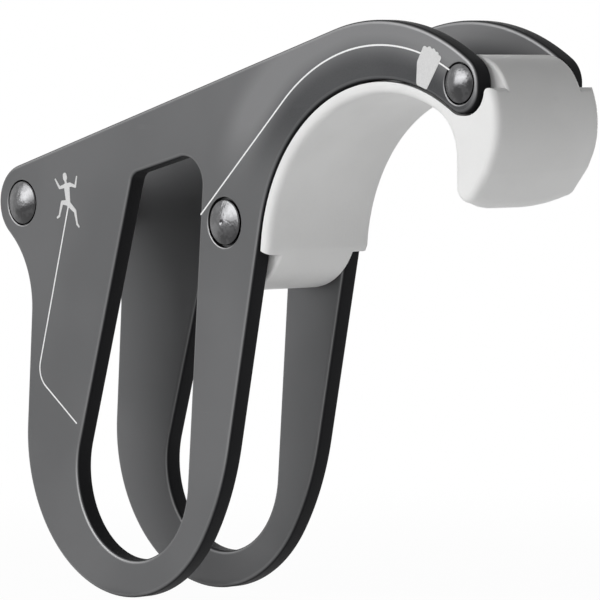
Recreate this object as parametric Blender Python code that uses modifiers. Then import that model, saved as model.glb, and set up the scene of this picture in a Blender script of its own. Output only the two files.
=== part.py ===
# Hand-held climbing belay device: two riveted side plates with carabiner loops,
# and a moulded hook grip that forms the rope channel between them.
# Metres, +Z up, +X towards the hook, the plates square to Y.
# The origin is the middle of the carabiner loops' round lower ends.

import math

import bmesh
import bpy

MM = 0.001

# Plates and the space between them
PLATE_THICKNESS = 3.0 * MM
PLATE_GAP = 15.2 * MM
PLATE_EDGE_ROUND = 0.5 * MM
CLEARANCE = 0.3 * MM

# Pins, as X and Z from the origin
CLIMBER_PIN = (-27.4 * MM, 41.3 * MM)
BRAKE_PIN = (22.3 * MM, 39.7 * MM)

# Carabiner loop: the opening, and the leg of plate that runs round it
LOOP_RADIUS = 13.35 * MM
LOOP_TOP_LEFT = (2.0 * MM, 44.8 * MM)
LOOP_TOP_LEFT_RADIUS = 2.0 * MM
LOOP_TOP_RIGHT = (12.7 * MM, 45.15 * MM)
LOOP_TOP_RIGHT_RADIUS = 4.2 * MM
LEG_CENTRE = (-2.7 * MM, 4.4 * MM)
LEG_RADIUS = 23.8 * MM
REAR_LEG_RADIUS = 42.2 * MM
REAR_LEG_ANGLE = -33.4

# Ear round the climber pin, with the hollow below it
EAR_RADIUS = 6.05 * MM
WAIST_OFFSET = (-12.2 * MM, -16.4 * MM)
WAIST_RADIUS = 14.35 * MM

# Hook of the plates: its pin is set in from the outer round, and its end has two rounds, tip and back
HOOK_CENTRE = (56.1 * MM, 34.85 * MM)
HOOK_OUTER_RADIUS = 35.0 * MM
HOOK_INNER_CENTRE = (57.1 * MM, 34.1 * MM)
HOOK_BAND = 7.85 * MM
HOOK_INNER_RADIUS = HOOK_OUTER_RADIUS - HOOK_BAND
PIN_INSET = 3.92 * MM
PIN_ANGLE = math.radians(56.62)
HOOK_PIN = (
    HOOK_CENTRE[0] + (HOOK_OUTER_RADIUS - PIN_INSET) * math.cos(PIN_ANGLE),
    HOOK_CENTRE[1] + (HOOK_OUTER_RADIUS - PIN_INSET) * math.sin(PIN_ANGLE),
)
TIP_OFFSET = (0.25 * MM, -0.75 * MM)
TIP_RADIUS = 3.5 * MM
BACK_ANGLE = 57.25
BACK_RADIUS = 4.2 * MM

# Grip between the plates: its eye on the brake pin and its rope floor
CHANNEL_DEPTH = 5.0 * MM
NOSE_RADIUS = 4.6 * MM
EYE_RADIUS = 10.4 * MM
HEEL_RADIUS = 3.4 * MM
HEEL_ANGLE = 252.5

# Grip below the plates: its finger hook and the spur at the end
GRIP_WALL = 2.0 * MM
FINGER_RADIUS = 7.4 * MM
FINGER_ANGLE = 65.5
SPUR_OFFSET = (1.05 * MM, -15.3 * MM)
SPUR_RADIUS = 2.35 * MM
SPUR_CROWN = 45.0 * MM
SPUR_CORNER = 4.0 * MM
BULGE_OFFSET = (-4.2 * MM, -5.7 * MM)
BULGE_RADIUS = 11.75 * MM
CHEEK_RADIUS = 5.5 * MM
CHEEK_STAND = 0.23 * MM
CHEEK_ANGLE = -40.4
BROW_RADIUS = 7.0 * MM
BROW_ANGLE = 35.0
GRIP_EDGE_ROUND = 1.2 * MM

# Flanges that carry the grip out to the plates' faces
FLANGE_RECESS = 0.3 * MM
FLANGE_TOP = 0.6 * MM
TIP_RELIEF = 0.75 * MM
FLANGE_CORNER = 0.8 * MM
FLANGE_TOP_ROUND = 1.2 * MM
FLANGE_END_ANGLE = 176.6
FLANGE_END_SLOPE = -24.5

# Rivets: the shank, the domed heads and their recesses in the plates
RIVETS = {
    "climber_rivet": {"pin": CLIMBER_PIN, "shank": 2.0 * MM, "head": 3.3 * MM, "recess": 3.65 * MM},
    "brake_rivet": {"pin": BRAKE_PIN, "shank": 2.0 * MM, "head": 3.3 * MM, "recess": 3.85 * MM},
    "hook_rivet": {"pin": HOOK_PIN, "shank": 1.75 * MM, "head": 2.7 * MM, "recess": 3.05 * MM},
}
RECESS_DEPTH = 1.0 * MM
HEAD_SIDE = 0.6 * MM
DOME_HEIGHT = 0.9 * MM

# Tubes on the shanks, which keep the plates apart: on the climber pin alone, and inside the grip
SPACERS = {
    "climber_spacer": {"rivet": "climber_rivet", "wall": 1.5 * MM},
    "brake_sleeve": {"rivet": "brake_rivet", "wall": 0.7 * MM},
    "hook_sleeve": {"rivet": "hook_rivet", "wall": 0.65 * MM},
}

# How finely rounds are divided
CHORD_ERROR = 0.03 * MM
COARSEST_STEP = math.radians(22.5)
ROUND_SIDES = 32
DOME_STEPS = 5
WELD = 0.001 * MM
SHARP_ANGLE = math.radians(30.0)

# How far cutters reach past what they cut, and how long the one round the spur is
CUTTER_MARGIN = 10.0 * MM
SPUR_SURROUND = 16.0 * MM

INNER_FACE = PLATE_GAP / 2.0
OUTER_FACE = INNER_FACE + PLATE_THICKNESS

MATERIALS = {
    "plate": {"colour": (0.17, 0.17, 0.175), "roughness": 0.38, "metallic": 0.9},
    "polyamide": {"colour": (0.82, 0.82, 0.81), "roughness": 0.5, "metallic": 0.0},
    "steel": {"colour": (0.62, 0.62, 0.63), "roughness": 0.22, "metallic": 1.0},
}


def moved(point, offset):
    return (point[0] + offset[0], point[1] + offset[1])


def polar(centre, radius, degrees):
    angle = math.radians(degrees)
    return moved(centre, (radius * math.cos(angle), radius * math.sin(angle)))


def solid(centre, radius):
    """A round of an outline with the material inside it."""
    return (centre[0], centre[1], radius)


def hollow(centre, radius):
    """A round of an outline with the material outside it."""
    return (centre[0], centre[1], -radius)


def straight_run(first, second):
    """Where the straight run between two rounds leaves the first and meets the second.

    The material is on the left of the run. Rounds that cross have no such run, and the
    outline then turns at their crossing.
    """
    ax, az, ar = first
    bx, bz, br = second
    distance = math.hypot(bx - ax, bz - az)
    ux, uz = (bx - ax) / distance, (bz - az) / distance
    along = (distance**2 + ar**2 - br**2) / (2.0 * distance)
    if abs(br - ar) > distance and abs(along) < abs(ar):
        aside = math.sqrt(ar**2 - along**2)
        crossing = (ax + ux * along + uz * aside, az + uz * along - ux * aside)
        return crossing, crossing
    cosine = max(-1.0, min(1.0, (br - ar) / distance))
    normal = math.atan2(uz, ux) + math.acos(cosine)
    nx, nz = math.cos(normal), math.sin(normal)
    return (ax - ar * nx, az - ar * nz), (bx - br * nx, bz - br * nz)


def along_round(round_, start, end):
    """Points on a round from start to end, counterclockwise, or clockwise on a hollow one."""
    x, z, signed = round_
    radius = abs(signed)
    turn = math.copysign(1.0, signed)
    first = math.atan2(start[1] - z, start[0] - x)
    last = math.atan2(end[1] - z, end[0] - x)
    sweep = (turn * (last - first)) % (2.0 * math.pi)
    step = min(COARSEST_STEP, 2.0 * math.acos(1.0 - min(1.0, CHORD_ERROR / radius)))
    count = max(1, round(sweep / step))
    angles = [first + turn * sweep * i / count for i in range(count + 1)]
    return [(x + radius * math.cos(a), z + radius * math.sin(a)) for a in angles]


def belt(rounds):
    """A closed outline round a row of circles, counterclockwise, as (x, z) points."""
    runs = [straight_run(a, b) for a, b in zip(rounds, rounds[1:] + rounds[:1])]
    points = []
    for index, round_ in enumerate(rounds):
        for point in along_round(round_, runs[index - 1][1], runs[index][0]):
            if not points or math.dist(point, points[-1]) > CHORD_ERROR:
                points.append(point)
    if math.dist(points[0], points[-1]) < CHORD_ERROR:
        points.pop()
    return points


def plate_outline():
    rear_leg = polar(LEG_CENTRE, LEG_RADIUS - REAR_LEG_RADIUS, REAR_LEG_ANGLE)
    return belt(
        [
            solid(CLIMBER_PIN, EAR_RADIUS),
            hollow(moved(CLIMBER_PIN, WAIST_OFFSET), WAIST_RADIUS),
            solid(LEG_CENTRE, LEG_RADIUS),
            solid(rear_leg, REAR_LEG_RADIUS),
            hollow(HOOK_INNER_CENTRE, HOOK_INNER_RADIUS),
            solid(moved(HOOK_PIN, TIP_OFFSET), TIP_RADIUS),
            solid(polar(HOOK_CENTRE, HOOK_OUTER_RADIUS - BACK_RADIUS, BACK_ANGLE), BACK_RADIUS),
            solid(HOOK_CENTRE, HOOK_OUTER_RADIUS),
        ]
    )


def loop_outline():
    return belt(
        [
            solid((0.0, 0.0), LOOP_RADIUS),
            solid(LOOP_TOP_RIGHT, LOOP_TOP_RIGHT_RADIUS),
            solid(LOOP_TOP_LEFT, LOOP_TOP_LEFT_RADIUS),
        ]
    )


def bulge_centre():
    return moved(HOOK_PIN, BULGE_OFFSET)


def grip_outline():
    grip_radius = HOOK_INNER_RADIUS - GRIP_WALL
    return belt(
        [
            solid(BRAKE_PIN, NOSE_RADIUS),
            solid(polar(BRAKE_PIN, EYE_RADIUS - HEEL_RADIUS, HEEL_ANGLE), HEEL_RADIUS),
            solid(BRAKE_PIN, EYE_RADIUS),
            hollow(HOOK_INNER_CENTRE, grip_radius),
            hollow(polar(HOOK_INNER_CENTRE, grip_radius - FINGER_RADIUS, FINGER_ANGLE), FINGER_RADIUS),
            solid(moved(HOOK_PIN, SPUR_OFFSET), SPUR_RADIUS),
            solid(polar(bulge_centre(), BULGE_RADIUS - CHEEK_RADIUS + CHEEK_STAND, CHEEK_ANGLE), CHEEK_RADIUS),
            solid(bulge_centre(), BULGE_RADIUS),
            solid(polar(bulge_centre(), BULGE_RADIUS - BROW_RADIUS, BROW_ANGLE), BROW_RADIUS),
            solid(HOOK_CENTRE, HOOK_OUTER_RADIUS - CHANNEL_DEPTH),
        ]
    )


def plate_pocket_outline():
    """What the plates take away from the grip: their own shape with the clearance round it.

    It runs round the plates' tip, turns out along the flange's top and over its outer round,
    comes back round the outside of the whole grip and goes up the inner edge of the hook.
    """
    tip = moved(HOOK_PIN, TIP_OFFSET)
    relief = moved(tip, (TIP_RELIEF, 0.0))
    tip_radius = TIP_RADIUS + CLEARANCE
    flange_top = HOOK_PIN[1] - FLANGE_TOP
    corner_z = flange_top - FLANGE_CORNER
    corner_x = relief[0] + math.sqrt((tip_radius + FLANGE_CORNER) ** 2 - (corner_z - tip[1]) ** 2)
    round_z = flange_top - FLANGE_TOP_ROUND
    round_angle = math.asin((round_z - bulge_centre()[1]) / (BULGE_RADIUS - FLANGE_TOP_ROUND))
    round_degrees = math.degrees(round_angle)
    top_round = polar(bulge_centre(), BULGE_RADIUS - FLANGE_TOP_ROUND, round_degrees)
    beside = polar(polar(bulge_centre(), BULGE_RADIUS, round_degrees), CUTTER_MARGIN, round_degrees - 90.0)
    right = beside[0] + CUTTER_MARGIN
    top = HOOK_CENTRE[1] + HOOK_OUTER_RADIUS + CUTTER_MARGIN
    left = BRAKE_PIN[0] - EYE_RADIUS - CUTTER_MARGIN
    bottom = BRAKE_PIN[1] - EYE_RADIUS - CUTTER_MARGIN
    hook_radius = HOOK_INNER_RADIUS - CLEARANCE
    flange_end = polar(HOOK_INNER_CENTRE, hook_radius, FLANGE_END_ANGLE)
    below_end = polar(flange_end, CUTTER_MARGIN, FLANGE_END_SLOPE)
    return belt(
        [
            solid(tip, tip_radius),
            solid(relief, tip_radius),
            hollow((corner_x, corner_z), FLANGE_CORNER),
            hollow(top_round, FLANGE_TOP_ROUND),
            solid(beside, CHORD_ERROR),
            solid((right, top), CHORD_ERROR),
            solid((left, top), CHORD_ERROR),
            solid((left, bottom), CHORD_ERROR),
            solid((below_end[0], bottom), CHORD_ERROR),
            solid(below_end, CHORD_ERROR),
            hollow(flange_end, CHORD_ERROR),
            hollow(HOOK_INNER_CENTRE, hook_radius),
        ]
    )


def spur_surround():
    """The space under and beside the spur, as (y, z) points: it leaves a crowned, rounded end."""
    width = OUTER_FACE - FLANGE_RECESS
    bottom = HOOK_PIN[1] + SPUR_OFFSET[1] - SPUR_RADIUS
    corner_y = width - SPUR_CORNER
    corner_reach = SPUR_CROWN - SPUR_CORNER
    corner_z = bottom + SPUR_CROWN - math.sqrt(corner_reach**2 - corner_y**2)
    beside = width + CUTTER_MARGIN
    return belt(
        [
            hollow((0.0, bottom + SPUR_CROWN), SPUR_CROWN),
            hollow((-corner_y, corner_z), SPUR_CORNER),
            solid((-beside, corner_z + SPUR_CORNER), CHORD_ERROR),
            solid((-beside, bottom - CUTTER_MARGIN), CHORD_ERROR),
            solid((beside, bottom - CUTTER_MARGIN), CHORD_ERROR),
            solid((beside, corner_z + SPUR_CORNER), CHORD_ERROR),
            hollow((corner_y, corner_z), SPUR_CORNER),
        ]
    )


def make_collections():
    for old in list(bpy.data.objects):
        bpy.data.objects.remove(old, do_unlink=True)
    device = bpy.data.collections.new("belay_device")
    cutters = bpy.data.collections.new("cutters")
    for collection in (device, cutters):
        bpy.context.scene.collection.children.link(collection)
    cutters.hide_render = True
    return device, cutters


def make_material(name, look):
    material = bpy.data.materials.new(name)
    material.use_nodes = True
    shader = material.node_tree.nodes["Principled BSDF"]
    shader.inputs["Base Color"].default_value = (*look["colour"], 1.0)
    shader.inputs["Roughness"].default_value = look["roughness"]
    shader.inputs["Metallic"].default_value = look["metallic"]
    return material


def flat_solid(name, outlines, thickness, edge_round, collection):
    """A flat piece with rounded rims, upright in the XZ plane and centred on Y, as a mesh."""
    curve = bpy.data.curves.new(name, "CURVE")
    curve.dimensions = "2D"
    curve.fill_mode = "BOTH"
    curve.extrude = thickness / 2.0 - edge_round
    curve.bevel_depth = edge_round
    curve.bevel_resolution = 1
    curve.offset = -edge_round
    for outline in outlines:
        spline = curve.splines.new("POLY")
        spline.points.add(len(outline) - 1)
        spline.use_cyclic_u = True
        for point, (x, z) in zip(spline.points, outline):
            point.co = (x, z, 0.0, 1.0)
    drawn = bpy.data.objects.new(name + "_outline", curve)
    drawn.rotation_euler = (math.radians(90.0), 0.0, 0.0)
    collection.objects.link(drawn)
    bpy.context.view_layer.update()
    evaluated = drawn.evaluated_get(bpy.context.evaluated_depsgraph_get())
    mesh = bpy.data.meshes.new_from_object(evaluated)
    mesh.name = name
    shape = bmesh.new()
    shape.from_mesh(mesh)
    bmesh.ops.remove_doubles(shape, verts=shape.verts, dist=WELD)
    bmesh.ops.dissolve_degenerate(shape, edges=shape.edges, dist=WELD)
    bmesh.ops.recalc_face_normals(shape, faces=shape.faces)
    shape.to_mesh(mesh)
    shape.free()
    made = bpy.data.objects.new(name, mesh)
    made.matrix_world = drawn.matrix_world.copy()
    collection.objects.link(made)
    bpy.data.objects.remove(drawn, do_unlink=True)
    bpy.data.curves.remove(curve)
    return made


def turned_solid(name, profile, collection, closed=False):
    """A piece turned round the Y axis from (radius, y) points, whose outer side runs to +Y."""
    mesh = bpy.data.meshes.new(name)
    edges = [(i, i + 1) for i in range(len(profile) - 1)]
    if closed:
        edges.append((len(profile) - 1, 0))
    mesh.from_pydata([(radius, 0.0, -y) for radius, y in profile], edges, [])
    made = bpy.data.objects.new(name, mesh)
    made.rotation_euler = (math.radians(90.0), 0.0, 0.0)
    collection.objects.link(made)
    screw = made.modifiers.new("Turn", "SCREW")
    screw.steps = ROUND_SIDES
    screw.render_steps = ROUND_SIDES
    screw.use_merge_vertices = True
    screw.merge_threshold = WELD
    screw.use_smooth_shade = True
    return made


def put_at(piece, pin, y=0.0):
    piece.location = (pin[0], y, pin[1])
    return piece


def round_cutter(name, pin, radius, low, high, cutters):
    """A bar along Y from low to high, which cuts a round hole at a pin."""
    bar = turned_solid(name, [(0.0, low), (radius, low), (radius, high), (0.0, high)], cutters)
    bar.display_type = "WIRE"
    bar.hide_render = True
    return put_at(bar, pin)


def cut(piece, cutter):
    boolean = piece.modifiers.new("Cut " + cutter.name, "BOOLEAN")
    boolean.operation = "DIFFERENCE"
    boolean.object = cutter


def make_side_plate(name, side, device, cutters):
    """One plate: the flat shape with its loop, bored and recessed for the three rivets."""
    plate = flat_solid(
        name, [plate_outline(), loop_outline()], PLATE_THICKNESS, PLATE_EDGE_ROUND, device
    )
    plate.location = (0.0, side * (INNER_FACE + PLATE_THICKNESS / 2.0), 0.0)
    recess_floor = OUTER_FACE - RECESS_DEPTH
    for rivet_name, rivet in RIVETS.items():
        label = f"{name}_{rivet_name}"
        ends = sorted((side * (INNER_FACE - CUTTER_MARGIN), side * (OUTER_FACE + CUTTER_MARGIN)))
        cut(plate, round_cutter(label + "_hole", rivet["pin"], rivet["shank"] + CLEARANCE, *ends, cutters))
        ends = sorted((side * recess_floor, side * (OUTER_FACE + CUTTER_MARGIN)))
        cut(plate, round_cutter(label + "_recess", rivet["pin"], rivet["recess"], *ends, cutters))
    return plate


def make_hook_grip(device, cutters):
    """The moulded grip: as wide as both plates, pocketed for them, bored for its two sleeves."""
    width = 2.0 * (OUTER_FACE - FLANGE_RECESS)
    grip = flat_solid("hook_grip", [grip_outline()], width, GRIP_EDGE_ROUND, device)
    pocket_depth = PLATE_THICKNESS + CUTTER_MARGIN
    for side in (-1.0, 1.0):
        pocket = flat_solid(
            f"hook_grip_pocket_{'front' if side < 0.0 else 'rear'}",
            [plate_pocket_outline()],
            pocket_depth,
            0.0,
            cutters,
        )
        pocket.location = (0.0, side * (INNER_FACE - CLEARANCE + pocket_depth / 2.0), 0.0)
        pocket.display_type = "WIRE"
        pocket.hide_render = True
        cut(grip, pocket)
    surround = flat_solid("hook_grip_spur_surround", [spur_surround()], SPUR_SURROUND, 0.0, cutters)
    surround.rotation_euler = (math.radians(90.0), 0.0, math.radians(90.0))
    surround.location = (HOOK_PIN[0] + SPUR_OFFSET[0], 0.0, 0.0)
    surround.display_type = "WIRE"
    surround.hide_render = True
    cut(grip, surround)
    for name in ("brake_sleeve", "hook_sleeve"):
        rivet = RIVETS[SPACERS[name]["rivet"]]
        radius = spacer_radius(name) + CLEARANCE
        cut(grip, round_cutter(name + "_bore", rivet["pin"], radius, -OUTER_FACE, OUTER_FACE, cutters))
    return grip


def spacer_radius(name):
    spacer = SPACERS[name]
    return RIVETS[spacer["rivet"]]["shank"] + CLEARANCE + spacer["wall"]


def make_spacer(name, device):
    rivet = RIVETS[SPACERS[name]["rivet"]]
    inner = rivet["shank"] + CLEARANCE
    outer = spacer_radius(name)
    half = INNER_FACE - CLEARANCE
    profile = [(outer, -half), (outer, half), (inner, half), (inner, -half)]
    return put_at(turned_solid(name, profile, device, closed=True), rivet["pin"])


def make_rivet(name, device):
    """A shank through both plates, with the same low domed head sunk into each."""
    rivet = RIVETS[name]
    underside = OUTER_FACE - RECESS_DEPTH + CLEARANCE
    rim = underside + HEAD_SIDE
    sphere = (rivet["head"] ** 2 + DOME_HEIGHT**2) / (2.0 * DOME_HEIGHT)
    half_angle = math.asin(rivet["head"] / sphere)
    front = []
    for step in range(DOME_STEPS + 1):
        angle = half_angle * step / DOME_STEPS
        height = rim + DOME_HEIGHT - sphere * (1.0 - math.cos(angle))
        front.append((sphere * math.sin(angle), -height))
    front += [(rivet["head"], -underside), (rivet["shank"], -underside)]
    rear = [(radius, -y) for radius, y in reversed(front)]
    return put_at(turned_solid(name, front + rear, device), rivet["pin"])


def shade_smooth(piece):
    piece.data.shade_smooth()
    piece.data.set_sharp_from_angle(angle=SHARP_ANGLE)


def main():
    device, cutters = make_collections()
    frame = bpy.data.objects.new("belay_device", None)
    device.objects.link(frame)
    pieces = {
        "plate": [
            make_side_plate("front_side_plate", -1.0, device, cutters),
            make_side_plate("rear_side_plate", 1.0, device, cutters),
        ],
        "polyamide": [make_hook_grip(device, cutters)],
        "steel": [make_rivet(name, device) for name in RIVETS]
        + [make_spacer(name, device) for name in SPACERS],
    }
    for finish, group in pieces.items():
        for piece in group:
            piece.data.materials.append(make_material(piece.name, MATERIALS[finish]))
            piece.parent = frame
            if finish != "steel":
                shade_smooth(piece)


main()
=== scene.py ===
# Belay device: two riveted side plates with carabiner loops, and a moulded hook grip between them.
# Sizes are in millimetres, +Z up, +X towards the hook, the plates square to Y.
import math

import bmesh
import bpy
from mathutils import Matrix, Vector


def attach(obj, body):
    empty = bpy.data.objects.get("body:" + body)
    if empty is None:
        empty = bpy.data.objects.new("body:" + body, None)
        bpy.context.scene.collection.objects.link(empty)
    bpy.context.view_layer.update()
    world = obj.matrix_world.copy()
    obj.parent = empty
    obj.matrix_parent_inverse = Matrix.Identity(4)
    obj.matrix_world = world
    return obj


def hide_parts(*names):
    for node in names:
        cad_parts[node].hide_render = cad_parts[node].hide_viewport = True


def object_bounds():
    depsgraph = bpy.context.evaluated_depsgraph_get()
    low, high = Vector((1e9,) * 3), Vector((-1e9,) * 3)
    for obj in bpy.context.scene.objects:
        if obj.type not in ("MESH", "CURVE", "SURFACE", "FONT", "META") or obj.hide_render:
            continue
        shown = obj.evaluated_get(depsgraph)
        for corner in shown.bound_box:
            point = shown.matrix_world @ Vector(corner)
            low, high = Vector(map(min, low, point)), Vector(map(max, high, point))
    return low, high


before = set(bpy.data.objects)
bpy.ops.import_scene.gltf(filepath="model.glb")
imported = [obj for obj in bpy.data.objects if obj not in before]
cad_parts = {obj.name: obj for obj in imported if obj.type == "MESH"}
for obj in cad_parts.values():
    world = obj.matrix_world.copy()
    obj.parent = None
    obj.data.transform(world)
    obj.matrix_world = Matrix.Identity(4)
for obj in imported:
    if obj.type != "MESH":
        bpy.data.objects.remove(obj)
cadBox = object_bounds()
print("frame loaded")

mm = 0.001
arcFlatness = 0.004  # how far a drawn arc may lie from the true one


# Tools: outlines made of rounds. A round is (x, z, radius), with a minus radius where it is hollow.

def moved(point, offset):
    return (point[0] + offset[0], point[1] + offset[1])


def polar(centre, radius, degrees):
    angle = math.radians(degrees)
    return (centre[0] + radius * math.cos(angle), centre[1] + radius * math.sin(angle))


def straightRun(first, second):
    # leaves the first round and meets the second, with the material on its left
    ax, az, ar = first
    bx, bz, br = second
    gap = math.hypot(bx - ax, bz - az)
    ux, uz = (bx - ax) / gap, (bz - az) / gap
    along = (gap ** 2 + ar ** 2 - br ** 2) / (2 * gap)
    if abs(br - ar) > gap and abs(along) < abs(ar):
        aside = math.sqrt(ar ** 2 - along ** 2)
        crossing = (ax + ux * along + uz * aside, az + uz * along - ux * aside)
        return crossing, crossing
    normal = math.atan2(uz, ux) + math.acos(max(-1, min(1, (br - ar) / gap)))
    nx, nz = math.cos(normal), math.sin(normal)
    return (ax - ar * nx, az - ar * nz), (bx - br * nx, bz - br * nz)


def inPlane(a, b, level, plane):
    # a point of the drawing plane in space: XZ drawings lie at a depth along Y, YZ ones at a place along X
    return Vector((a, level, b)) * mm if plane == "XZ" else Vector((level, a, b)) * mm


def traceLoop(rounds, level, plane="XZ"):
    # in edit mode: a point is spun about each round and drawn straight on to the next
    runs = [straightRun(a, b) for a, b in zip(rounds, rounds[1:] + rounds[:1])]
    axis = (0, 1, 0) if plane == "XZ" else (-1, 0, 0)
    bpy.ops.mesh.select_all(action="DESELECT")
    bpy.ops.mesh.primitive_plane_add(size=mm, location=inPlane(*runs[-1][1], level, plane))
    bpy.ops.mesh.merge(type="CENTER")
    for index, (x, z, radius) in enumerate(rounds):
        arrive = runs[index - 1][1]
        leave, onward = runs[index]
        turn = math.copysign(1, radius)
        first = math.atan2(arrive[1] - z, arrive[0] - x)
        last = math.atan2(leave[1] - z, leave[0] - x)
        sweep = (turn * (last - first)) % math.tau
        if 1e-6 < sweep < math.tau - 1e-6:
            step = min(math.radians(12), 2 * math.acos(1 - min(1, arcFlatness / abs(radius))))
            bpy.ops.mesh.spin(
                steps=max(1, math.ceil(sweep / step)), angle=turn * sweep,
                center=inPlane(x, z, level, plane), axis=axis,
            )
        if math.dist(leave, onward) > 1e-4:
            run = inPlane(onward[0] - leave[0], onward[1] - leave[1], 0, plane)
            bpy.ops.mesh.extrude_region_move(TRANSFORM_OT_translate={"value": run})


def clearSelection():
    if bpy.context.object and bpy.context.object.mode != "OBJECT":
        bpy.ops.object.mode_set(mode="OBJECT")
    bpy.ops.object.select_all(action="DESELECT")


def emptyPiece(name):
    # a new mesh object at the origin, open in edit mode with nothing in it
    clearSelection()
    bpy.ops.mesh.primitive_plane_add(size=mm, location=(0, 0, 0))
    piece = bpy.context.object
    piece.name = name
    piece.data.name = name
    bpy.ops.object.mode_set(mode="EDIT")
    bpy.ops.mesh.select_mode(type="VERT")
    bpy.ops.mesh.select_all(action="SELECT")
    bpy.ops.mesh.delete(type="VERT")
    return piece


def drawnSlab(name, loops, low, high, rows=1, plane="XZ"):
    # a flat shape, drawn, filled and extruded from low to high in some rows
    piece = emptyPiece(name)
    for rounds in loops:
        traceLoop(rounds, low, plane)
    bpy.ops.mesh.select_all(action="SELECT")
    bpy.ops.mesh.remove_doubles(threshold=1e-6)
    bpy.ops.mesh.select_all(action="SELECT")
    if len(loops) > 1:
        bpy.ops.mesh.fill(use_beauty=True)
    else:
        bpy.ops.mesh.edge_face_add()
    bpy.ops.mesh.select_mode(type="FACE")
    bpy.ops.mesh.select_all(action="SELECT")
    lift = inPlane(0, 0, (high - low) / rows, plane)
    for row in range(rows):
        bpy.ops.mesh.extrude_region_move(TRANSFORM_OT_translate={"value": lift})
    bpy.ops.mesh.select_all(action="SELECT")
    bpy.ops.mesh.normals_make_consistent(inside=False)
    bpy.ops.object.mode_set(mode="OBJECT")
    return piece


def editOnly(piece, kind):
    clearSelection()
    piece.select_set(True)
    bpy.context.view_layer.objects.active = piece
    bpy.ops.object.mode_set(mode="EDIT")
    bpy.ops.mesh.select_mode(type=kind)
    bpy.ops.mesh.select_all(action="DESELECT")


def selectFaces(piece, test):
    shape = bmesh.from_edit_mesh(piece.data)
    for face in shape.faces:
        face.select_set(test(face))
    bmesh.update_edit_mesh(piece.data)


def selectEdges(piece, test):
    shape = bmesh.from_edit_mesh(piece.data)
    for edge in shape.edges:
        edge.select_set(len(edge.link_faces) == 2 and test(*edge.link_faces))
    bmesh.update_edit_mesh(piece.data)


def roundRims(piece, radius, steps, axis=1):
    # both flat ends are inset and lifted step by step along a quarter round
    for side in (-1, 1):
        editOnly(piece, "FACE")
        selectFaces(piece, lambda face: face.normal[axis] * side > 0.999)
        for step in range(steps):
            start = math.radians(90 * step / steps)
            end = math.radians(90 * (step + 1) / steps)
            bpy.ops.mesh.inset(
                thickness=radius * (math.cos(start) - math.cos(end)) * mm,
                depth=radius * (math.sin(end) - math.sin(start)) * mm,
                use_even_offset=True,
            )
    bpy.ops.object.mode_set(mode="OBJECT")


def crispFlats(piece):
    # the flat sides keep crisp borders, so that they shade flat
    for side in (-1, 1):
        editOnly(piece, "FACE")
        selectFaces(piece, lambda face: face.normal.y * side > 0.9999)
        bpy.ops.mesh.quads_convert_to_tris(quad_method="BEAUTY", ngon_method="BEAUTY")
        bpy.ops.mesh.region_to_loop()
        bpy.ops.mesh.mark_sharp()
    bpy.ops.object.mode_set(mode="OBJECT")


def combine(piece, other, operation="DIFFERENCE"):
    clearSelection()
    piece.select_set(True)
    bpy.context.view_layer.objects.active = piece
    bpy.ops.object.modifier_add(type="BOOLEAN")
    boolean = piece.modifiers[-1]
    boolean.operation = operation
    boolean.object = other
    boolean.material_mode = "TRANSFER"
    bpy.ops.object.modifier_apply(modifier=boolean.name)
    bpy.data.objects.remove(other, do_unlink=True)


def turnedPiece(name, pin, profile, turns=96):
    # a profile of (radius, y) points and (radius, y, degrees) arcs about a centre, spun round the pin
    piece = emptyPiece(name)
    x, z = pin
    here = profile[0]
    bpy.ops.mesh.primitive_plane_add(size=mm, location=((x + here[0]) * mm, here[1] * mm, z * mm))
    bpy.ops.mesh.merge(type="CENTER")
    for entry in profile[1:]:
        if len(entry) == 2:
            run = Vector((entry[0] - here[0], entry[1] - here[1], 0)) * mm
            bpy.ops.mesh.extrude_region_move(TRANSFORM_OT_translate={"value": run})
            here = entry
            continue
        angle = math.radians(entry[2])
        bpy.ops.mesh.spin(
            steps=max(3, round(abs(entry[2]) / 5)), angle=angle,
            center=((x + entry[0]) * mm, entry[1] * mm, z * mm), axis=(0, 0, -1),
        )
        arm = (here[0] - entry[0], here[1] - entry[1])
        here = (
            entry[0] + arm[0] * math.cos(angle) - arm[1] * math.sin(angle),
            entry[1] + arm[0] * math.sin(angle) + arm[1] * math.cos(angle),
        )
    bpy.ops.mesh.select_all(action="SELECT")
    bpy.ops.mesh.spin(steps=turns, angle=math.tau, center=(x * mm, 0, z * mm), axis=(0, 1, 0))
    bpy.ops.mesh.select_all(action="SELECT")
    bpy.ops.mesh.remove_doubles(threshold=2e-6)
    bpy.ops.mesh.select_all(action="SELECT")
    bpy.ops.mesh.normals_make_consistent(inside=False)
    bpy.ops.object.mode_set(mode="OBJECT")
    return piece


def finishPiece(piece, material, sharpAngle=28):
    clearSelection()
    piece.select_set(True)
    bpy.context.view_layer.objects.active = piece
    bpy.ops.object.shade_smooth_by_angle(angle=math.radians(sharpAngle), keep_sharp_edges=True)
    piece.data.materials.clear()
    piece.data.materials.append(material)
    for polygon in piece.data.polygons:
        polygon.material_index = 0
    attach(piece, "root")
    return piece


# Finishes: effects used by more than one material are node groups

def newGroup(name, inputs, outputs):
    group = bpy.data.node_groups.new(name, "ShaderNodeTree")
    for label, kind, value in inputs:
        socket = group.interface.new_socket(name=label, in_out="INPUT", socket_type=kind)
        if value is not None:
            socket.default_value = value
    for label, kind in outputs:
        group.interface.new_socket(name=label, in_out="OUTPUT", socket_type=kind)
    return group, group.nodes.new("NodeGroupInput"), group.nodes.new("NodeGroupOutput")


def mathNode(tree, operation, first, second=None, clamp=False):
    node = tree.nodes.new("ShaderNodeMath")
    node.operation = operation
    node.use_clamp = clamp
    for socket, value in zip(node.inputs, (first, second)):
        if value is None:
            continue
        if isinstance(value, (int, float)):
            socket.default_value = value
        else:
            tree.links.new(value, socket)
    return node.outputs[0]


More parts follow.
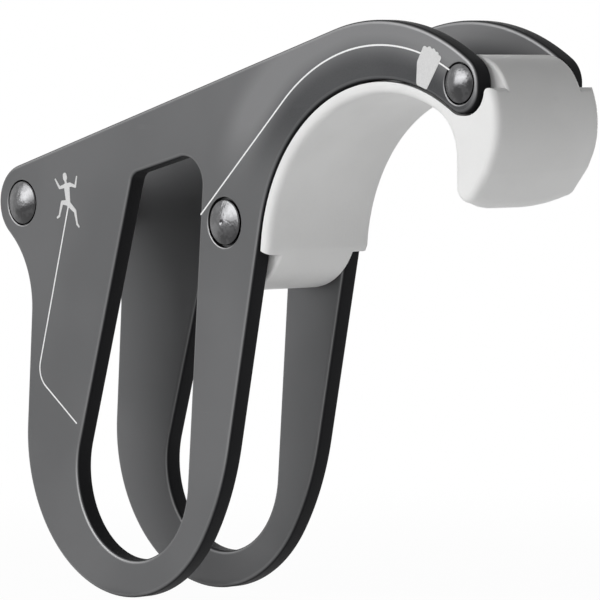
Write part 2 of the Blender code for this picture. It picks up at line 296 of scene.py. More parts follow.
def ramp(tree, value, low, high, start=0.0, end=1.0):
    node = tree.nodes.new("ShaderNodeMapRange")
    node.interpolation_type = "SMOOTHSTEP"
    tree.links.new(value, node.inputs["Value"])
    node.inputs["From Min"].default_value = low
    node.inputs["From Max"].default_value = high
    node.inputs["To Min"].default_value = start
    node.inputs["To Max"].default_value = end
    return node.outputs["Result"]


def mixColour(tree, factor, first, second):
    node = tree.nodes.new("ShaderNodeMix")
    node.data_type = "RGBA"
    for number, value in ((0, factor), (6, first), (7, second)):  # the sockets of a colour mix
        if isinstance(value, (int, float)):
            node.inputs[number].default_value = value
        elif isinstance(value, tuple):
            node.inputs[number].default_value = (*value, 1.0)
        else:
            tree.links.new(value, node.inputs[number])
    return node.outputs[2]


def makeGrainGroup():
    # fine blasted or moulded grain, with a slow drift over it
    group, given, result = newGroup(
        "grain",
        [("Vector", "NodeSocketVector", None), ("Scale", "NodeSocketFloat", 3000.0), ("Drift", "NodeSocketFloat", 60.0)],
        [("Fine", "NodeSocketFloat"), ("Slow", "NodeSocketFloat")],
    )
    fine = group.nodes.new("ShaderNodeTexNoise")
    fine.inputs["Detail"].default_value = 3.0
    fine.inputs["Roughness"].default_value = 0.6
    slow = group.nodes.new("ShaderNodeTexNoise")
    slow.inputs["Detail"].default_value = 2.0
    group.links.new(given.outputs["Vector"], fine.inputs["Vector"])
    group.links.new(given.outputs["Vector"], slow.inputs["Vector"])
    group.links.new(given.outputs["Scale"], fine.inputs["Scale"])
    group.links.new(given.outputs["Drift"], slow.inputs["Scale"])
    group.links.new(ramp(group, fine.outputs["Fac"], 0.3, 0.7), result.inputs["Fine"])
    group.links.new(ramp(group, slow.outputs["Fac"], 0.35, 0.65), result.inputs["Slow"])
    return group


def makeScratchGroup():
    # sparse fine scuffs that lie one way, as handling leaves
    group, given, result = newGroup(
        "scuffs",
        [("Vector", "NodeSocketVector", None), ("Scale", "NodeSocketFloat", 260.0)],
        [("Mask", "NodeSocketFloat")],
    )
    stretch = group.nodes.new("ShaderNodeMapping")
    stretch.inputs["Rotation"].default_value = (0.0, math.radians(38), 0.0)
    stretch.inputs["Scale"].default_value = (0.06, 1.0, 1.6)
    lines = group.nodes.new("ShaderNodeTexNoise")
    lines.inputs["Detail"].default_value = 4.0
    patches = group.nodes.new("ShaderNodeTexNoise")
    patches.inputs["Scale"].default_value = 45.0
    group.links.new(given.outputs["Vector"], stretch.inputs["Vector"])
    group.links.new(stretch.outputs["Vector"], lines.inputs["Vector"])
    group.links.new(given.outputs["Scale"], lines.inputs["Scale"])
    group.links.new(given.outputs["Vector"], patches.inputs["Vector"])
    thin = ramp(group, lines.outputs["Fac"], 0.66, 0.74)
    where = ramp(group, patches.outputs["Fac"], 0.5, 0.62)
    group.links.new(mathNode(group, "MULTIPLY", thin, where), result.inputs["Mask"])
    return group


grainGroup = makeGrainGroup()
scratchGroup = makeScratchGroup()


def newMaterial(name):
    material = bpy.data.materials.new(name)
    material.use_nodes = True
    tree = material.node_tree
    coordinates = tree.nodes.new("ShaderNodeTexCoord")
    return material, tree, tree.nodes["Principled BSDF"], coordinates


def addGroup(tree, group, vector, **values):
    node = tree.nodes.new("ShaderNodeGroup")
    node.node_tree = group
    tree.links.new(vector, node.inputs["Vector"])
    for label, value in values.items():
        node.inputs[label].default_value = value
    return node


def addBump(tree, shader, height, distance, strength=1.0):
    bump = tree.nodes.new("ShaderNodeBump")
    bump.inputs["Strength"].default_value = strength
    bump.inputs["Distance"].default_value = distance * mm
    tree.links.new(height, bump.inputs["Height"])
    tree.links.new(bump.outputs["Normal"], shader.inputs["Normal"])


def pinDistance(tree, place, pin):
    # how far a point is from a pin's axis
    flat = tree.nodes.new("ShaderNodeVectorMath")
    flat.operation = "MULTIPLY"
    flat.inputs[1].default_value = (1.0, 0.0, 1.0)
    tree.links.new(place, flat.inputs[0])
    reach = tree.nodes.new("ShaderNodeVectorMath")
    reach.operation = "DISTANCE"
    reach.inputs[1].default_value = (pin[0] * mm, 0.0, pin[1] * mm)
    tree.links.new(flat.outputs["Vector"], reach.inputs[0])
    return reach.outputs["Value"]


plateFinish = {
    "face": (0.038, 0.039, 0.041), "faceLighter": (0.178, 0.179, 0.182), "wall": (0.011, 0.011, 0.012),
    "paintedSheenCentre": (56.1, 34.85), "innerSide": (0.0285, 0.032), "bandIn": (0.030, 0.034), "bandOut": (0.035, 0.040),
    "paintedSheenHeight": (0.044, 0.058), "plain": 0.46, "paintedSheen": 0.52, "wallRoughness": 0.24,
    "rim": (0.50, 0.50, 0.505), "rimStrength": 0.08, "paintedHighlightStrength": 0.6, "paintedHighlightTowards": (0.6, 0.0, 0.8),
    "roughness": 0.36, "grain": 8000.0, "edgeTint": 0.3,
}


def makePlateMaterial():
    # satin dark anodising: grey faces, near-black walls that are painted shade, and rims with a painted highlight
    material, tree, shader, coordinates = newMaterial("anodised_plate")
    place = coordinates.outputs["Object"]
    grain = addGroup(tree, grainGroup, place, Scale=plateFinish["grain"], Drift=38.0)
    scuffs = addGroup(tree, scratchGroup, place, Scale=320.0)
    parts = tree.nodes.new("ShaderNodeSeparateXYZ")
    tree.links.new(coordinates.outputs["Normal"], parts.inputs[0])
    facing = mathNode(tree, "ABSOLUTE", parts.outputs["Y"])
    # the walls, square to the plate, are painted near-black: painted shade for the dark they reflect
    wall = ramp(tree, facing, 0.45, 0.93, 1.0, 0.0)
    rimIn = ramp(tree, facing, 0.72, 0.9)
    rimOut = ramp(tree, facing, 0.985, 0.9985, 1.0, 0.0)
    # the rims that face up and towards the hook's tip get a painted highlight, brighter than the other rims
    towards = tree.nodes.new("ShaderNodeVectorMath")
    towards.operation = "DOT_PRODUCT"
    towards.inputs[1].default_value = plateFinish["paintedHighlightTowards"]
    tree.links.new(coordinates.outputs["Normal"], towards.inputs[0])
    paintedHighlight = ramp(tree, towards.outputs["Value"], 0.05, 0.4, plateFinish["rimStrength"], plateFinish["paintedHighlightStrength"])
    rim = mathNode(tree, "MULTIPLY", mathNode(tree, "MULTIPLY", rimIn, rimOut), paintedHighlight)
    # high on the hook the outer side gets a painted sheen and the inner side painted shade, darker than the legs; a
    # slow random drift is added
    reach = pinDistance(tree, place, plateFinish["paintedSheenCentre"])
    height = tree.nodes.new("ShaderNodeSeparateXYZ")
    tree.links.new(place, height.inputs[0])
    upper = ramp(tree, height.outputs["Z"], *plateFinish["paintedSheenHeight"])
    band = mathNode(tree, "MULTIPLY", ramp(tree, reach, *plateFinish["bandIn"]), ramp(tree, reach, *plateFinish["bandOut"], 1.0, 0.0))
    paintedSheen = mathNode(tree, "MULTIPLY", mathNode(tree, "MULTIPLY", band, upper), plateFinish["paintedSheen"])
    shaded = mathNode(tree, "MULTIPLY", ramp(tree, reach, *plateFinish["innerSide"], plateFinish["plain"], 0.0), upper)
    toneWithPaintedSheen = mathNode(tree, "SUBTRACT", mathNode(tree, "ADD", paintedSheen, plateFinish["plain"]), shaded)
    toneWithPaintedSheen = mathNode(tree, "ADD", toneWithPaintedSheen, mathNode(tree, "MULTIPLY", grain.outputs["Slow"], 0.14))
    face = mixColour(tree, toneWithPaintedSheen, plateFinish["face"], plateFinish["faceLighter"])
    speckle = mathNode(tree, "MULTIPLY", grain.outputs["Fine"], 0.16)
    face = mixColour(tree, speckle, face, (0.15, 0.15, 0.155))
    face = mixColour(tree, mathNode(tree, "MULTIPLY", scuffs.outputs["Mask"], 0.15), face, (0.30, 0.30, 0.31))
    # the walls' near-black colour is painted shade
    colour = mixColour(tree, wall, face, plateFinish["wall"])
    # the pale rim colour laid over the rims is a painted highlight
    tree.links.new(mixColour(tree, rim, colour, plateFinish["rim"]), shader.inputs["Base Color"])
    rough = mathNode(tree, "ADD", mathNode(tree, "MULTIPLY", grain.outputs["Fine"], 0.10), plateFinish["roughness"])
    rough = mathNode(tree, "SUBTRACT", rough, mathNode(tree, "MULTIPLY", rim, 0.12))
    rough = mathNode(tree, "ADD", rough, mathNode(tree, "MULTIPLY", wall, plateFinish["wallRoughness"]))
    tree.links.new(rough, shader.inputs["Roughness"])
    shader.inputs["Metallic"].default_value = 0.25
    shader.inputs["Specular IOR Level"].default_value = 0.2
    edge = plateFinish["edgeTint"]
    shader.inputs["Specular Tint"].default_value = (edge, edge, edge, 1.0)
    addBump(tree, shader, grain.outputs["Fine"], 0.006, 0.6)
    return material


gripFinish = {"colour": (0.80, 0.80, 0.795), "shade": (0.76, 0.76, 0.755), "roughness": 0.42, "grain": 2300.0}


def makeGripMaterial():
    # satin off-white moulding with a fine spark-eroded skin and a few handling scuffs
    material, tree, shader, coordinates = newMaterial("moulded_grip")
    place = coordinates.outputs["Object"]
    grain = addGroup(tree, grainGroup, place, Scale=gripFinish["grain"], Drift=70.0)
    scuffs = addGroup(tree, scratchGroup, place, Scale=240.0)
    colour = mixColour(tree, grain.outputs["Slow"], gripFinish["colour"], gripFinish["shade"])
    speckle = mathNode(tree, "MULTIPLY", grain.outputs["Fine"], 0.10)
    colour = mixColour(tree, speckle, colour, (0.86, 0.86, 0.855))
    colour = mixColour(tree, mathNode(tree, "MULTIPLY", scuffs.outputs["Mask"], 0.12), colour, (0.62, 0.62, 0.61))
    tree.links.new(colour, shader.inputs["Base Color"])
    rough = mathNode(tree, "ADD", mathNode(tree, "MULTIPLY", grain.outputs["Fine"], 0.14), gripFinish["roughness"])
    tree.links.new(rough, shader.inputs["Roughness"])
    shader.inputs["Specular IOR Level"].default_value = 0.4
    addBump(tree, shader, grain.outputs["Fine"], 0.010, 0.5)
    return material


steelFinish = {"colour": (0.16, 0.16, 0.164), "roughness": 0.22, "paintedShadeTowards": (0.45, 0.0, -0.9)}


def makeSteelMaterial(name, pin, colour, roughness, dents=14.0):
    # steel turned or formed about its own pin: faint rings round the axis, a fine grain, and painted shade darkening
    # its lower-right side
    material, tree, shader, coordinates = newMaterial(name)
    rings = tree.nodes.new("ShaderNodeTexNoise")
    rings.noise_dimensions = "1D"
    rings.inputs["Scale"].default_value = 5200.0
    rings.inputs["Detail"].default_value = 2.0
    tree.links.new(pinDistance(tree, coordinates.outputs["Object"], pin), rings.inputs["W"])
    grain = addGroup(tree, grainGroup, coordinates.outputs["Object"], Scale=5200.0, Drift=760.0)
    dark = tuple(0.3 * value for value in colour)
    # painted shade: the side facing down and towards +X is darkened, together with slow random darker patches
    shadedSide = tree.nodes.new("ShaderNodeVectorMath")
    shadedSide.operation = "DOT_PRODUCT"
    shadedSide.inputs[1].default_value = steelFinish["paintedShadeTowards"]
    tree.links.new(coordinates.outputs["Normal"], shadedSide.inputs[0])
    driftAndPaintedShade = mathNode(tree, "MULTIPLY", grain.outputs["Slow"], 0.4)
    driftAndPaintedShade = mathNode(tree, "ADD", driftAndPaintedShade, ramp(tree, shadedSide.outputs["Value"], -0.04, 0.24, 0.0, 0.85), clamp=True)
    mixed = mixColour(tree, driftAndPaintedShade, colour, dark)
    tree.links.new(mixed, shader.inputs["Base Color"])
    rough = mathNode(tree, "ADD", mathNode(tree, "MULTIPLY", rings.outputs["Fac"], 0.12), roughness - 0.05)
    tree.links.new(rough, shader.inputs["Roughness"])
    shader.inputs["Metallic"].default_value = 1.0
    height = mathNode(tree, "ADD", rings.outputs["Fac"], mathNode(tree, "MULTIPLY", grain.outputs["Slow"], dents))
    addBump(tree, shader, height, 0.003, 0.6)
    return material


def makeMarkMaterial(name, ink, thinInk):
    # pale marking ink, a little broken up where it sits on the grain
    material, tree, shader, coordinates = newMaterial(name)
    grain = addGroup(tree, grainGroup, coordinates.outputs["Object"], Scale=5200.0, Drift=300.0)
    colour = mixColour(tree, mathNode(tree, "MULTIPLY", grain.outputs["Fine"], 0.5), ink, thinInk)
    tree.links.new(colour, shader.inputs["Base Color"])
    tree.links.new(mathNode(tree, "ADD", mathNode(tree, "MULTIPLY", grain.outputs["Fine"], 0.15), 0.45), shader.inputs["Roughness"])
    return material


plateMaterial = makePlateMaterial()
gripMaterial = makeGripMaterial()
lineMaterial = makeMarkMaterial("line_marking", (0.88, 0.88, 0.88), (0.74, 0.74, 0.74))
signMaterial = makeMarkMaterial("sign_marking", (0.66, 0.66, 0.66), (0.52, 0.52, 0.52))
print("finishes made")


# Side plates

plate = {
    "thickness": 3.0, "gap": 15.2, "rim": 0.6, "rimSteps": 6,
    "climberPin": (-27.4, 41.3), "brakePin": (22.3, 39.7),
    "ear": 6.05, "waist": (-12.2, -16.4), "waistRadius": 14.35,
    "legCentre": (-2.7, 4.4), "legRadius": 23.8, "rearLegRadius": 42.2, "rearLegAngle": -33.4,
    "hookCentre": (56.1, 34.85), "hookOuter": 35.0, "hookInnerCentre": (57.1, 34.1), "hookInner": 27.15,
    "pinInset": 3.92, "pinAngle": 56.62, "tip": (0.25, -0.75), "tipRadius": 3.5,
    "backAngle": 57.25, "backRadius": 4.2,
    "loop": [(0, 0, 13.35), (12.7, 45.15, 4.2), (2.0, 44.8, 2.0)],
}
plate["hookPin"] = polar(plate["hookCentre"], plate["hookOuter"] - plate["pinInset"], plate["pinAngle"])
clearance = 0.3
innerFace = plate["gap"] / 2
outerFace = innerFace + plate["thickness"]

rivets = {
    "climber_rivet": {"pin": plate["climberPin"], "shank": 2.0, "head": 3.3, "recess": 3.65},
    "brake_rivet": {"pin": plate["brakePin"], "shank": 2.0, "head": 3.3, "recess": 3.85, "dome": 0.8, "centreMark": True},
    "hook_rivet": {"pin": plate["hookPin"], "shank": 1.75, "head": 2.7, "recess": 3.05},
}
headShape = {"recessDepth": 1.0, "recessBevel": 0.17, "recessSlope": 0.45, "side": 0.5, "dome": 1.0, "edge": 0.28, "grow": 0.12}


def plateRounds():
    earX, earZ = plate["climberPin"]
    rearLeg = polar(plate["legCentre"], plate["legRadius"] - plate["rearLegRadius"], plate["rearLegAngle"])
    back = polar(plate["hookCentre"], plate["hookOuter"] - plate["backRadius"], plate["backAngle"])
    return [
        (earX, earZ, plate["ear"]),
        (*moved(plate["climberPin"], plate["waist"]), -plate["waistRadius"]),
        (*plate["legCentre"], plate["legRadius"]),
        (*rearLeg, plate["rearLegRadius"]),
        (*plate["hookInnerCentre"], -plate["hookInner"]),
        (*moved(plate["hookPin"], plate["tip"]), plate["tipRadius"]),
        (*back, plate["backRadius"]),
        (*plate["hookCentre"], plate["hookOuter"]),
    ]


def makePlate(name, side):
    near, far = sorted((side * innerFace, side * outerFace))
    rim = plate["rim"]
    piece = drawnSlab(name, [plateRounds(), plate["loop"]], near + rim, far - rim)
    roundRims(piece, rim, plate["rimSteps"])
    for rivet in rivets.values():
        floor = outerFace - headShape["recessDepth"]
        bevel, slope = headShape["recessBevel"], headShape["recessSlope"]
        hole = rivet["shank"] + clearance
        profile = [
            (0, innerFace - 1), (hole, innerFace - 1), (hole, floor), (rivet["recess"], floor),
            (rivet["recess"], outerFace - bevel * slope), (rivet["recess"] + 2 * bevel, outerFace + bevel * slope),
            (0, outerFace + bevel * slope),
        ]
        cutter = turnedPiece("cutter", rivet["pin"], [(r, side * y) for r, y in profile])
        combine(piece, cutter)
    crispFlats(piece)
    finishPiece(piece, plateMaterial)
    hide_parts(name)
    print(name, "made,", len(piece.data.polygons), "faces")
    return piece


makePlate("front_side_plate", -1)
makePlate("rear_side_plate", 1)


# Hook grip: one moulding between and below the plates

grip = {
    "channel": 5.0, "nose": 4.6, "eye": 10.4, "heel": 3.4, "heelAngle": 252.5,
    "wall": 2.0, "finger": 7.4, "fingerAngle": 65.5, "spur": (1.05, -15.3), "spurRadius": 2.35,
    "bulge": (-4.2, -5.7), "bulgeRadius": 11.75, "brow": 7.0, "browAngle": 35.0,
    "cheekRadius": 5.5, "cheekStand": 0.23, "cheekAngle": -40.4,
    "rim": 1.2, "rimSteps": 6, "rows": 12,
    "spurLift": {-1: 0.8, 1: 1.4}, "spurReach": {-1: 3.5, 1: 9.5},
    "recess": 0.3, "flangeTop": 0.6, "relief": 0.75, "flangeCorner": 0.8, "topRound": 1.2,
    "flangeEndAngle": 176.6, "flangeEndSlope": -24.5,
    "shoulder": 0.5,
    "sleeves": {"brake_rivet": 0.7, "hook_rivet": 0.65},
}


def gripRounds():
    inner = plate["hookInner"] - grip["wall"]
    bulge = moved(plate["hookPin"], grip["bulge"])
    cheek = polar(bulge, grip["bulgeRadius"] - grip["cheekRadius"] + grip["cheekStand"], grip["cheekAngle"])
    return [
        (*plate["brakePin"], grip["nose"]),
        (*polar(plate["brakePin"], grip["eye"] - grip["heel"], grip["heelAngle"]), grip["heel"]),
        (*plate["brakePin"], grip["eye"]),
        (*plate["hookInnerCentre"], -inner),
        (*polar(plate["hookInnerCentre"], inner - grip["finger"], grip["fingerAngle"]), -grip["finger"]),
        (*moved(plate["hookPin"], grip["spur"]), grip["spurRadius"]),
        (*cheek, grip["cheekRadius"]),
        (*bulge, grip["bulgeRadius"]),
        (*polar(bulge, grip["bulgeRadius"] - grip["brow"], grip["browAngle"]), grip["brow"]),
        (*plate["hookCentre"], plate["hookOuter"] - grip["channel"]),
    ]


def pocketRounds():
    # the plates' own shape with its clearance, open to the top and to the left of the grip
    point, far = 0.03, 10.0
    tip = moved(plate["hookPin"], plate["tip"])
    relief = moved(tip, (grip["relief"], 0))
    radius = plate["tipRadius"] + clearance
    top = plate["hookPin"][1] - grip["flangeTop"]
    cornerZ = top - grip["flangeCorner"]
    cornerX = relief[0] + math.sqrt((radius + grip["flangeCorner"]) ** 2 - (cornerZ - tip[1]) ** 2)
    bulge = moved(plate["hookPin"], grip["bulge"])
    reach = grip["bulgeRadius"] - grip["topRound"]
    angle = math.degrees(math.asin((top - grip["topRound"] - bulge[1]) / reach))
    beside = polar(polar(bulge, grip["bulgeRadius"], angle), far, angle - 90)
    right, high = beside[0] + far, plate["hookCentre"][1] + plate["hookOuter"] + far
    left = plate["brakePin"][0] - grip["eye"] - far
    low = plate["brakePin"][1] - grip["eye"] - far
    hook = plate["hookInner"] - clearance
    end = polar(plate["hookInnerCentre"], hook, grip["flangeEndAngle"])
    belowEnd = polar(end, far, grip["flangeEndSlope"])
    return [
        (*tip, radius), (*relief, radius), (cornerX, cornerZ, -grip["flangeCorner"]),
        (*polar(bulge, reach, angle), -grip["topRound"]), (*beside, point),
        (right, high, point), (left, high, point), (left, low, point),
        (belowEnd[0], low, point), (*belowEnd, point), (*end, -point),
        (*plate["hookInnerCentre"], -hook),
    ]


def makeGrip():
    width = outerFace - grip["recess"]
    side = width - grip["rim"]
    piece = drawnSlab("hook_grip_body", [gripRounds()], -side, side, grip["rows"])
    roundRims(piece, grip["rim"], grip["rimSteps"])
    # the spur's ends are pulled up, with a soft reach, so that its underside is crowned
    editOnly(piece, "VERT")
    bottom = plate["hookPin"][1] + grip["spur"][1] - grip["spurRadius"]
    for end in (-1, 1):
        shape = bmesh.from_edit_mesh(piece.data)
        for vert in shape.verts:
            vert.select_set(vert.co.y * end > (side - 0.01) * mm and vert.co.z < (bottom + 1.6) * mm and vert.co.x > 60 * mm)
        bmesh.update_edit_mesh(piece.data)
        bpy.ops.transform.translate(
            value=(0, 0, grip["spurLift"][end] * mm), use_proportional_edit=True,
            proportional_edit_falloff="SHARP", proportional_size=grip["spurReach"][end] * mm,
        )
        bpy.ops.mesh.select_all(action="DESELECT")
    bpy.ops.object.mode_set(mode="OBJECT")
    # each cutter leaves its own material on what it cuts, so that the new edges can be told apart
    pocketMark, boreMark = (bpy.data.materials.new(name) for name in ("pocket_mark", "bore_mark"))
    piece.data.materials.append(gripMaterial)
    for end in (-1, 1):
        low, high = sorted((end * (innerFace - clearance), end * (outerFace + 10)))
        pocket = drawnSlab("pocket", [pocketRounds()], low, high)
        pocket.data.materials.append(pocketMark)
        combine(piece, pocket)
    for name, wall in grip["sleeves"].items():
        rivet = rivets[name]
        radius = rivet["shank"] + clearance + wall + clearance
        bore = turnedPiece("bore", rivet["pin"], [(0, -outerFace), (radius, -outerFace), (radius, outerFace), (0, outerFace)])
        bore.data.materials.append(boreMark)
        combine(piece, bore)
    editOnly(piece, "EDGE")
    selectEdges(piece, lambda a, b: {a.material_index, b.material_index} == {0, 1}
                and max(abs(face.normal.y) for face in (a, b) if face.material_index) > 0.9)
    bpy.ops.mesh.bevel(offset=grip["shoulder"] * mm, segments=5, affect="EDGES", clamp_overlap=False)
    crispFlats(piece)
    finishPiece(piece, gripMaterial)
    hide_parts("hook_grip")
    print("hook grip made,", len(piece.data.polygons), "faces")
    return piece


makeGrip()


# Rivets and the climber spacer

centreMark = [(0, -0.13), (0.12, -0.12), (0.24, -0.075), (0.34, -0.025), (0.42, 0), (0.5, 0.006), (0.6, 0)]


def makeRivet(name):
    # one shank with the same low domed head sunk in each plate, its edge broken
    rivet = rivets[name]
    shank, edge, rise = rivet["shank"], headShape["edge"], rivet.get("dome", headShape["dome"])
    under = outerFace - headShape["recessDepth"] + clearance
    head = rivet["head"] + headShape["grow"]
    sideTop, inner = under + headShape["side"], head - edge
    dome = (inner ** 2 + rise ** 2 - edge ** 2) / (2 * (rise - edge))  # its radius, to run into the edge's round
    centre, slope = sideTop + rise - dome, math.degrees(math.asin(inner / (dome - edge)))
    front = [(0, -centre - dome), (0, -centre, slope)]
    if rivet.get("centreMark"):
        # the small dimple that forming leaves in the middle
        start = math.degrees(math.asin(centreMark[-1][0] / dome))
        edgeY = centre + dome * math.cos(math.radians(start))
        front = [(radius, -(edgeY + height)) for radius, height in centreMark] + [(0, -centre, slope - start)]
    profile = front + [(inner, -sideTop, 90 - slope), (head, -under), (shank, -under)]
    profile += [(shank, under), (head, under), (head, sideTop)]
    profile += [(inner, sideTop, 90 - slope), (0, centre, slope)]
    piece = turnedPiece(name + "_body", rivet["pin"], profile)
    material = makeSteelMaterial(name + "_steel", rivet["pin"], steelFinish["colour"], steelFinish["roughness"])
    finishPiece(piece, material, 24)
    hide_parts(name)
    return piece


for rivetName in rivets:
    makeRivet(rivetName)

spacer = {"wall": 1.5, "bevel": 0.25}


def makeSpacer():
    pin = plate["climberPin"]
    inner = rivets["climber_rivet"]["shank"] + clearance
    outer, half, bevel = inner + spacer["wall"], innerFace - clearance, spacer["bevel"]
    profile = [
        (inner, -half), (outer - bevel, -half), (outer, -half + bevel), (outer, half - bevel),
        (outer - bevel, half), (inner, half), (inner, -half),
    ]
    piece = turnedPiece("climber_spacer_body", pin, profile)
    material = makeSteelMaterial("turned_spacer", pin, (0.34, 0.34, 0.345), 0.28, 1.5)
    finishPiece(piece, material)
    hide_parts("climber_spacer")


makeSpacer()
for nodeName in ("brake_sleeve", "hook_sleeve"):
    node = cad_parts[nodeName]
    pin = plate["brakePin"] if nodeName == "brake_sleeve" else plate["hookPin"]
    material = makeSteelMaterial(nodeName + "_steel", pin, (0.34, 0.34, 0.345), 0.30, 1.5)
    node.data.materials.clear()
    node.data.materials.append(material)
print("rivets and spacers made")


# Marks on the front plate: the rope's run, a hand and a climber, as pale ink

marks = {
    "line": 0.25, "height": 0.02, "signHeight": 0.035,
    "ropeCentre": (56.86, 34.98), "ropeRadius": 31.25, "ropeSlope": 42.5, "ropeStart": 16.9, "ropeEndAngle": 61.4,
    "climber": (-15.45, 41.45),
}


def inkPiece(name, loops, height=marks["height"]):
    # ink lies on the outer face of the front plate
    return drawnSlab(name, loops, -outerFace - height, -outerFace + 0.01)


def finishMark(piece, material=lineMaterial):
    finishPiece(piece, material)


def makeRopeLine():
    # straight from the loop's edge, then round the hook to its rivet
    half, centre, radius = marks["line"] / 2, marks["ropeCentre"], marks["ropeRadius"]
    touch = polar(centre, radius, 90 + marks["ropeSlope"])
    back = (touch[0] - marks["ropeStart"]) / math.cos(math.radians(marks["ropeSlope"]))
    start = polar(touch, -back, marks["ropeSlope"])
    end = polar(centre, radius, marks["ropeEndAngle"])
    finishMark(inkPiece("rope_line", [[
        (*start, half), (*centre, -(radius - half)), (*end, half), (*centre, radius + half),
    ]]))


def capsule(name, first, firstRadius, second, secondRadius):
    return inkPiece(name, [[(*first, firstRadius), (*second, secondRadius)]], marks["signHeight"])


# each limb is (x, z, radius) to (x, z, radius), from the middle of the hips
climberLimbs = {
    "body": ((0, 0, 0.5), (-0.35, 2.4, 0.66)),
    "chest": ((-0.9, 2.75, 0.36), (0.35, 3.0, 0.36)),
    "neck": ((-0.6, 3.1, 0.24), (-0.75, 3.7, 0.24)),
    "head": ((-0.82, 4.05, 0.5), (-0.9, 4.4, 0.47)),
    "left_arm": ((-0.95, 2.75, 0.3), (-2.2, 2.45, 0.22)),
    "left_forearm": ((-2.2, 2.45, 0.22), (-3.3, 3.75, 0.14)),
    "right_arm": ((0.4, 3.05, 0.3), (1.75, 2.75, 0.22)),
    "right_forearm": ((1.75, 2.75, 0.22), (2.1, 4.3, 0.14)),
    "left_thigh": ((-0.1, 0.15, 0.45), (-1.55, 0.15, 0.32)),
    "left_shin": ((-1.6, 0.1, 0.3), (-2.25, -1.85, 0.18)),
    "left_foot": ((-2.25, -1.95, 0.2), (-2.75, -2.25, 0.17)),
    "right_thigh": ((0.2, -0.1, 0.45), (1.7, -1.1, 0.32)),
    "right_shin": ((1.7, -1.1, 0.3), (2.2, -3.0, 0.18)),
    "right_foot": ((2.2, -3.1, 0.2), (2.65, -3.5, 0.17)),
}


def makeClimberSign():
    piece = None
    for (x1, z1, r1), (x2, z2, r2) in climberLimbs.values():
        limb = capsule("climber_sign", moved(marks["climber"], (x1, z1)), r1, moved(marks["climber"], (x2, z2)), r2)
        if piece:
            combine(piece, limb, "UNION")
        else:
            piece = limb
    finishMark(piece, signMaterial)


# the hand from its wrist round its knuckles: rounds, with a small hollow one between two knuckles
handRounds = [
    (66.5, 60.25, 0.3), (65.0, 60.95, 0.5), (65.15, 63.7, 0.5), (66.2, 65.65, 0.42), (66.76, 66.0, -0.15),
    (67.2, 65.62, 0.4), (67.76, 65.8, -0.15), (68.02, 65.32, 0.4), (68.6, 65.4, -0.15), (68.72, 64.88, 0.38),
    (69.24, 64.9, -0.15), (69.22, 64.38, 0.36), (68.35, 63.3, 0.5),
]


def makeHandSign():
    finishMark(inkPiece("hand_sign", [handRounds[::-1]], marks["signHeight"]), signMaterial)


def makeClimberLine():
    # from the climber's hips down the leg, and round to the loop's edge
    half, turn = marks["line"] / 2, 3.4
    hips = moved(marks["climber"], (0, -0.3))
    corner, end = (-22.9, 15.6), (-13.6, 7.0)
    bend = (corner[0] + turn, corner[1] - 0.4)
    finishMark(inkPiece("climber_line", [[
        (*hips, half), (*bend, turn + half), (*end, half), (*bend, -(turn - half)),
    ]]))


makeRopeLine()
makeClimberLine()
makeClimberSign()
makeHandSign()
print("marks made")


# Stage: white floor, soft studio light and the camera at the photograph's view

studio = {
    "aim": (39.5, -10.6, 28.8), "distance": 602.27, "azimuth": 48.578, "elevation": 3.4576, "lens": 245.59,
    "around": 0.28, "above": 0.05, "floorGlow": 0.97, "farGlow": 1.0, "glowFrom": 0.08, "glowTo": 0.2,
}


def makeStage():
    bottom = cadBox[0][2]
    clearSelection()
    bpy.ops.mesh.primitive_plane_add(size=8.0, location=(0, 0, bottom))
    floor = bpy.context.object
    floor.name = "studio_floor"
    material = bpy.data.materials.new("studio_white")
    material.use_nodes = True
    tree = material.node_tree
    shader = tree.nodes["Principled BSDF"]
    shader.inputs["Base Color"].default_value = (0.9, 0.9, 0.9, 1.0)
    shader.inputs["Roughness"].default_value = 0.9
    shader.inputs["Specular IOR Level"].default_value = 0.1
    glow = tree.nodes.new("ShaderNodeEmission")
    glow.inputs["Strength"].default_value = 1.0
    path = tree.nodes.new("ShaderNodeLightPath")
    seen = mathNode(tree, "MAXIMUM", path.outputs["Is Camera Ray"], path.outputs["Is Glossy Ray"])
    seen = mathNode(tree, "MAXIMUM", seen, path.outputs["Is Transmission Ray"])
    # pure white away from the object, and near it open to its shadow
    coordinates = tree.nodes.new("ShaderNodeTexCoord")
    reach = tree.nodes.new("ShaderNodeVectorMath")
    reach.operation = "DISTANCE"
    reach.inputs[1].default_value = (studio["aim"][0] * mm, 0.0, 0.0)
    tree.links.new(coordinates.outputs["Object"], reach.inputs[0])
    weight = ramp(tree, reach.outputs["Value"], studio["glowFrom"], studio["glowTo"], studio["floorGlow"], studio["farGlow"])
    blend = tree.nodes.new("ShaderNodeMixShader")
    tree.links.new(mathNode(tree, "MULTIPLY", seen, weight), blend.inputs[0])
    tree.links.new(shader.outputs[0], blend.inputs[1])
    tree.links.new(glow.outputs[0], blend.inputs[2])
    tree.links.new(blend.outputs[0], tree.nodes["Material Output"].inputs["Surface"])
    floor.data.materials.append(material)


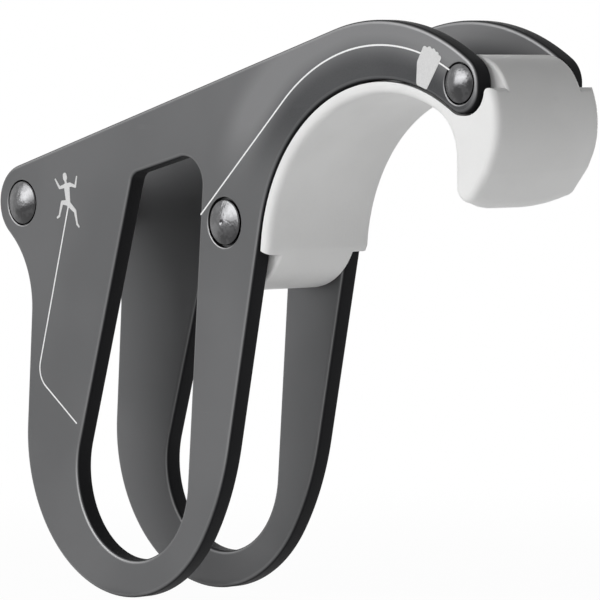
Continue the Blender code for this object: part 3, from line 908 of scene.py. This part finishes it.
def makeWorld():
    world = bpy.data.worlds.new("studio")
    bpy.context.scene.world = world
    world.use_nodes = True
    tree = world.node_tree
    plain = tree.nodes["Background"]
    plain.inputs["Color"].default_value = (1, 1, 1, 1)
    direction = tree.nodes.new("ShaderNodeTexCoord")
    parts = tree.nodes.new("ShaderNodeSeparateXYZ")
    tree.links.new(direction.outputs["Generated"], parts.inputs[0])
    strength = ramp(tree, parts.outputs["Z"], 0.0, 0.8, studio["around"], studio["above"])
    tree.links.new(strength, plain.inputs["Strength"])
    white = tree.nodes.new("ShaderNodeBackground")
    white.inputs["Strength"].default_value = 1.0
    white.inputs["Color"].default_value = (1, 1, 1, 1)
    path = tree.nodes.new("ShaderNodeLightPath")
    seen = mathNode(tree, "MAXIMUM", path.outputs["Is Camera Ray"], path.outputs["Is Glossy Ray"])
    seen = mathNode(tree, "MAXIMUM", seen, path.outputs["Is Transmission Ray"])
    blend = tree.nodes.new("ShaderNodeMixShader")
    tree.links.new(seen, blend.inputs[0])
    tree.links.new(plain.outputs[0], blend.inputs[1])
    tree.links.new(white.outputs[0], blend.inputs[2])
    tree.links.new(blend.outputs[0], tree.nodes["World Output"].inputs["Surface"])


lamps = {
    "front_softbox": {"from": (-695, -1661, 547), "size": (1.6, 1.2), "power": 25.4},
    "side_softbox": {"from": (840, -420, 220), "size": (0.5, 0.5), "power": 1.35},
    "back_softbox": {"from": (-900, 1500, 260), "size": (1.2, 0.9), "power": 9.0},
    "floor_card": {"from": (60, -10, -18.5), "to": (60, -10, 500), "size": (0.6, 0.6), "power": 0.25},
}


def makeLamps():
    for name, lamp in lamps.items():
        aim = Vector(lamp.get("to", studio["aim"])) * mm
        light = bpy.data.lights.new(name, "AREA")
        light.shape = "RECTANGLE"
        light.size, light.size_y = lamp["size"]
        light.energy = lamp["power"]
        holder = bpy.data.objects.new(name, light)
        bpy.context.scene.collection.objects.link(holder)
        holder.location = Vector(lamp["from"]) * mm
        holder.rotation_euler = (aim - holder.location).to_track_quat("-Z", "Y").to_euler()
        holder.visible_camera = False


def makeCamera():
    azimuth, elevation = math.radians(studio["azimuth"]), math.radians(studio["elevation"])
    back = Vector((
        math.sin(azimuth) * math.cos(elevation), -math.cos(azimuth) * math.cos(elevation), math.sin(elevation),
    ))
    data = bpy.data.cameras.new("photo_camera")
    data.lens = studio["lens"]
    data.sensor_width = 36.0
    data.clip_start = 0.01
    camera = bpy.data.objects.new("photo_camera", data)
    bpy.context.scene.collection.objects.link(camera)
    camera.location = (Vector(studio["aim"]) + back * studio["distance"]) * mm
    camera.rotation_euler = (-back).to_track_quat("-Z", "Y").to_euler()
    bpy.context.scene.camera = camera


makeStage()
makeWorld()
makeLamps()
makeCamera()
bpy.context.scene.view_settings.view_transform = "Standard"
print("stage set")
